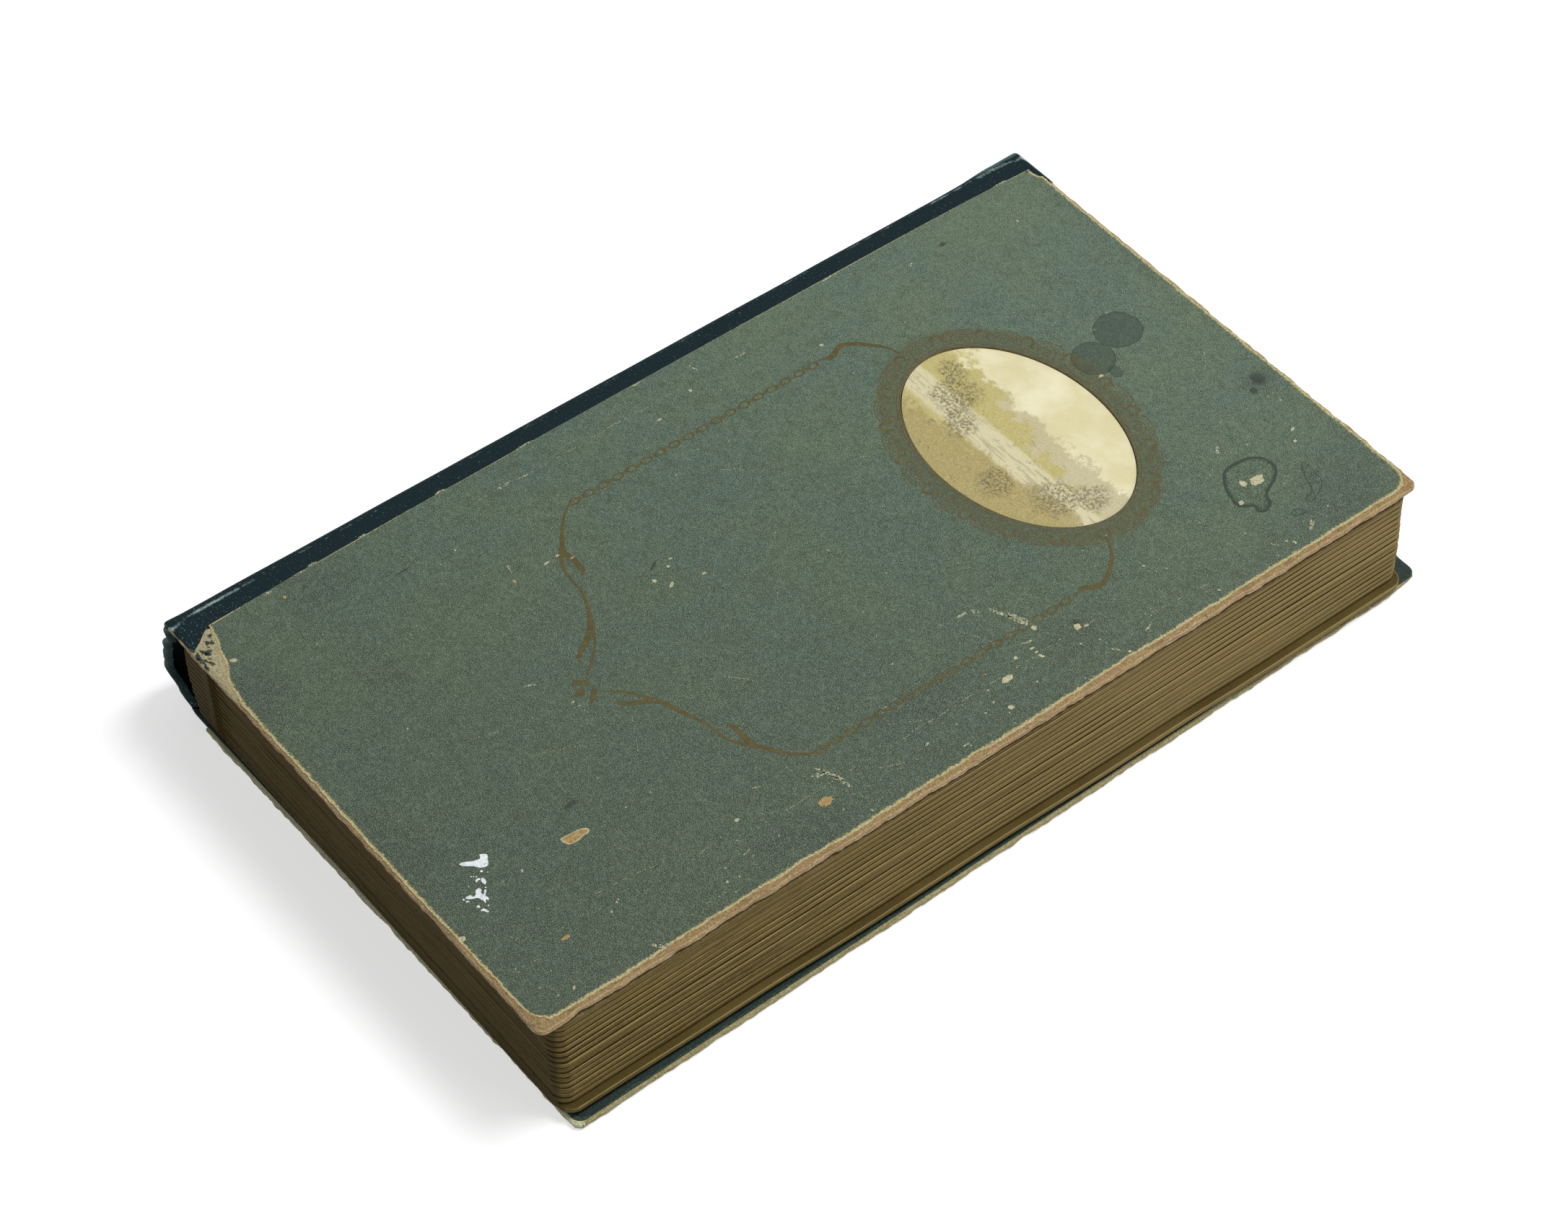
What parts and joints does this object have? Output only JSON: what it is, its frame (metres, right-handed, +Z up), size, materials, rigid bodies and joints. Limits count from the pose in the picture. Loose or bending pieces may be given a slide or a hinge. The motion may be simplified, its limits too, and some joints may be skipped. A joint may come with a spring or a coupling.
{
  "type": "photo album",
  "caption": "Thick portrait album for cards: two hinged boards, a hollow cloth back and slitted card leaves on linen hinges, with an oval picture set in the front board.",
  "frame": {"origin": "middle of the closed album's footprint, on the table that the back cover lies on", "axes": "+X from the spine to the fore edge, +Y from the tail to the head, +Z up through the front cover"},
  "size_m": [0.2376, 0.4004, 0.0549],
  "materials": {
    "greyboard": "bare pulp board, worn pinkish tan",
    "cover_paper": "grained grey-green printed paper, scuffed",
    "spine_cloth": "dark petrol bookcloth",
    "turn_ins": "dark grained paper",
    "pastedowns": "dark grained endpaper",
    "picture": "colour print on smooth paper",
    "leaf_card": "matte olive-brown card",
    "flyleaf_paper": "thin brown paper",
    "stub_card": "matte olive-brown card",
    "linen": "thin woven linen",
    "tape": "unbleached linen tape and thread",
    "spine_card": "thin flexible card"
  },
  "bodies": {
    "back_cover": {"back_board": "greyboard", "back_cover_paper": "cover_paper", "back_cloth_strip": "spine_cloth", "back_turn_ins": "turn_ins", "back_pastedown": "pastedowns"},
    "spine": {"guard_stubs": "stub_card", "leaf_hinges": "linen", "mull_lining": "linen", "sewing_tapes": "tape", "sewing_thread": "tape", "spine_cloth": "spine_cloth", "spine_card": "spine_card"},
    "front_cover": {"front_board": "greyboard", "front_cover_paper": "cover_paper", "front_cloth_strip": "spine_cloth", "front_turn_ins": "turn_ins", "front_pastedown": "pastedowns", "oval_picture": "picture"},
    "front_flyleaf": {"front_flyleaf": "flyleaf_paper"},
    "back_flyleaf": {"back_flyleaf": "flyleaf_paper"},
    "leaf_01": {"leaf_01": "leaf_card"},
    "leaf_02": {"leaf_02": "leaf_card"},
    "leaf_03": {"leaf_03": "leaf_card"},
    "leaf_04": {"leaf_04": "leaf_card"},
    "leaf_05": {"leaf_05": "leaf_card"},
    "leaf_06": {"leaf_06": "leaf_card"},
    "leaf_07": {"leaf_07": "leaf_card"},
    "leaf_08": {"leaf_08": "leaf_card"},
    "leaf_09": {"leaf_09": "leaf_card"},
    "leaf_10": {"leaf_10": "leaf_card"},
    "leaf_11": {"leaf_11": "leaf_card"},
    "leaf_12": {"leaf_12": "leaf_card"},
    "leaf_13": {"leaf_13": "leaf_card"},
    "leaf_14": {"leaf_14": "leaf_card"},
    "leaf_15": {"leaf_15": "leaf_card"},
    "leaf_16": {"leaf_16": "leaf_card"}
  },
  "joints": [
    {"name": "spine_hinge", "type": "hinge", "parent": "back_cover", "child": "spine", "pos_m": [-0.11084, 0, 0.0032], "axis": [0, -1, 0], "range_deg": [0, 90], "deforming": ["spine_cloth", "spine_card", "leaf_hinges"]},
    {"name": "front_cover_hinge", "type": "hinge", "parent": "spine", "child": "front_cover", "pos_m": [-0.11084, 0, 0.05165], "axis": [0, -1, 0], "range_deg": [0, 90]},
    {"name": "front_flyleaf_hinge", "type": "hinge", "parent": "spine", "child": "front_flyleaf", "pos_m": [-0.09684, 0, 0.0508], "axis": [0, -1, 0], "range_deg": [0, 93.51]},
    {"name": "leaf_01_hinge", "type": "hinge", "parent": "spine", "child": "leaf_01", "pos_m": [-0.09679, 0, 0.0488], "axis": [0, -1, 0], "range_deg": [0, 82.51]},
    {"name": "leaf_02_hinge", "type": "hinge", "parent": "spine", "child": "leaf_02", "pos_m": [-0.09674, 0, 0.04595], "axis": [0, -1, 0], "range_deg": [0, 71.5]},
    {"name": "leaf_03_hinge", "type": "hinge", "parent": "spine", "child": "leaf_03", "pos_m": [-0.0967, 0, 0.0431], "axis": [0, -1, 0], "range_deg": [0, 60.5]},
    {"name": "leaf_04_hinge", "type": "hinge", "parent": "spine", "child": "leaf_04", "pos_m": [-0.09665, 0, 0.04025], "axis": [0, -1, 0], "range_deg": [0, 49.51]},
    {"name": "leaf_05_hinge", "type": "hinge", "parent": "spine", "child": "leaf_05", "pos_m": [-0.0966, 0, 0.0374], "axis": [0, -1, 0], "range_deg": [0, 38.51]},
    {"name": "leaf_06_hinge", "type": "hinge", "parent": "spine", "child": "leaf_06", "pos_m": [-0.09656, 0, 0.03455], "axis": [0, -1, 0], "range_deg": [0, 27.51]},
    {"name": "leaf_07_hinge", "type": "hinge", "parent": "spine", "child": "leaf_07", "pos_m": [-0.09651, 0, 0.0317], "axis": [0, -1, 0], "range_deg": [0, 16.5]},
    {"name": "leaf_08_hinge", "type": "hinge", "parent": "spine", "child": "leaf_08", "pos_m": [-0.09646, 0, 0.02885], "axis": [0, -1, 0], "range_deg": [0, 5.5]},
    {"name": "leaf_09_hinge", "type": "hinge", "parent": "spine", "child": "leaf_09", "pos_m": [-0.09641, 0, 0.026], "axis": [0, -1, 0], "range_deg": [-5.5, 0]},
    {"name": "leaf_10_hinge", "type": "hinge", "parent": "spine", "child": "leaf_10", "pos_m": [-0.09637, 0, 0.02315], "axis": [0, -1, 0], "range_deg": [-16.5, 0]},
    {"name": "leaf_11_hinge", "type": "hinge", "parent": "spine", "child": "leaf_11", "pos_m": [-0.09632, 0, 0.0203], "axis": [0, -1, 0], "range_deg": [-27.51, 0]},
    {"name": "leaf_12_hinge", "type": "hinge", "parent": "spine", "child": "leaf_12", "pos_m": [-0.09627, 0, 0.01745], "axis": [0, -1, 0], "range_deg": [-38.51, 0]},
    {"name": "leaf_13_hinge", "type": "hinge", "parent": "spine", "child": "leaf_13", "pos_m": [-0.09623, 0, 0.0146], "axis": [0, -1, 0], "range_deg": [-49.51, 0]},
    {"name": "leaf_14_hinge", "type": "hinge", "parent": "spine", "child": "leaf_14", "pos_m": [-0.09618, 0, 0.01175], "axis": [0, -1, 0], "range_deg": [-60.5, 0]},
    {"name": "leaf_15_hinge", "type": "hinge", "parent": "spine", "child": "leaf_15", "pos_m": [-0.09613, 0, 0.0089], "axis": [0, -1, 0], "range_deg": [-71.5, 0]},
    {"name": "leaf_16_hinge", "type": "hinge", "parent": "spine", "child": "leaf_16", "pos_m": [-0.09609, 0, 0.00605], "axis": [0, -1, 0], "range_deg": [-82.51, 0]},
    {"name": "back_flyleaf_hinge", "type": "hinge", "parent": "spine", "child": "back_flyleaf", "pos_m": [-0.09604, 0, 0.00405], "axis": [0, -1, 0], "range_deg": [-93.51, 0]}
  ],
  "couplings": [
    {"joint": "front_cover_hinge", "follows": "spine_hinge", "ratio": 1},
    {"joint": "front_flyleaf_hinge", "follows": "spine_hinge", "ratio": 1.0389},
    {"joint": "leaf_01_hinge", "follows": "spine_hinge", "ratio": 0.91667},
    {"joint": "leaf_02_hinge", "follows": "spine_hinge", "ratio": 0.79444},
    {"joint": "leaf_03_hinge", "follows": "spine_hinge", "ratio": 0.67222},
    {"joint": "leaf_04_hinge", "follows": "spine_hinge", "ratio": 0.55},
    {"joint": "leaf_05_hinge", "follows": "spine_hinge", "ratio": 0.42778},
    {"joint": "leaf_06_hinge", "follows": "spine_hinge", "ratio": 0.30556},
    {"joint": "leaf_07_hinge", "follows": "spine_hinge", "ratio": 0.18333},
    {"joint": "leaf_08_hinge", "follows": "spine_hinge", "ratio": 0.061111},
    {"joint": "leaf_09_hinge", "follows": "spine_hinge", "ratio": -0.061111},
    {"joint": "leaf_10_hinge", "follows": "spine_hinge", "ratio": -0.18333},
    {"joint": "leaf_11_hinge", "follows": "spine_hinge", "ratio": -0.30556},
    {"joint": "leaf_12_hinge", "follows": "spine_hinge", "ratio": -0.42778},
    {"joint": "leaf_13_hinge", "follows": "spine_hinge", "ratio": -0.55},
    {"joint": "leaf_14_hinge", "follows": "spine_hinge", "ratio": -0.67222},
    {"joint": "leaf_15_hinge", "follows": "spine_hinge", "ratio": -0.79444},
    {"joint": "leaf_16_hinge", "follows": "spine_hinge", "ratio": -0.91667},
    {"joint": "back_flyleaf_hinge", "follows": "spine_hinge", "ratio": -1.0389}
  ]
}
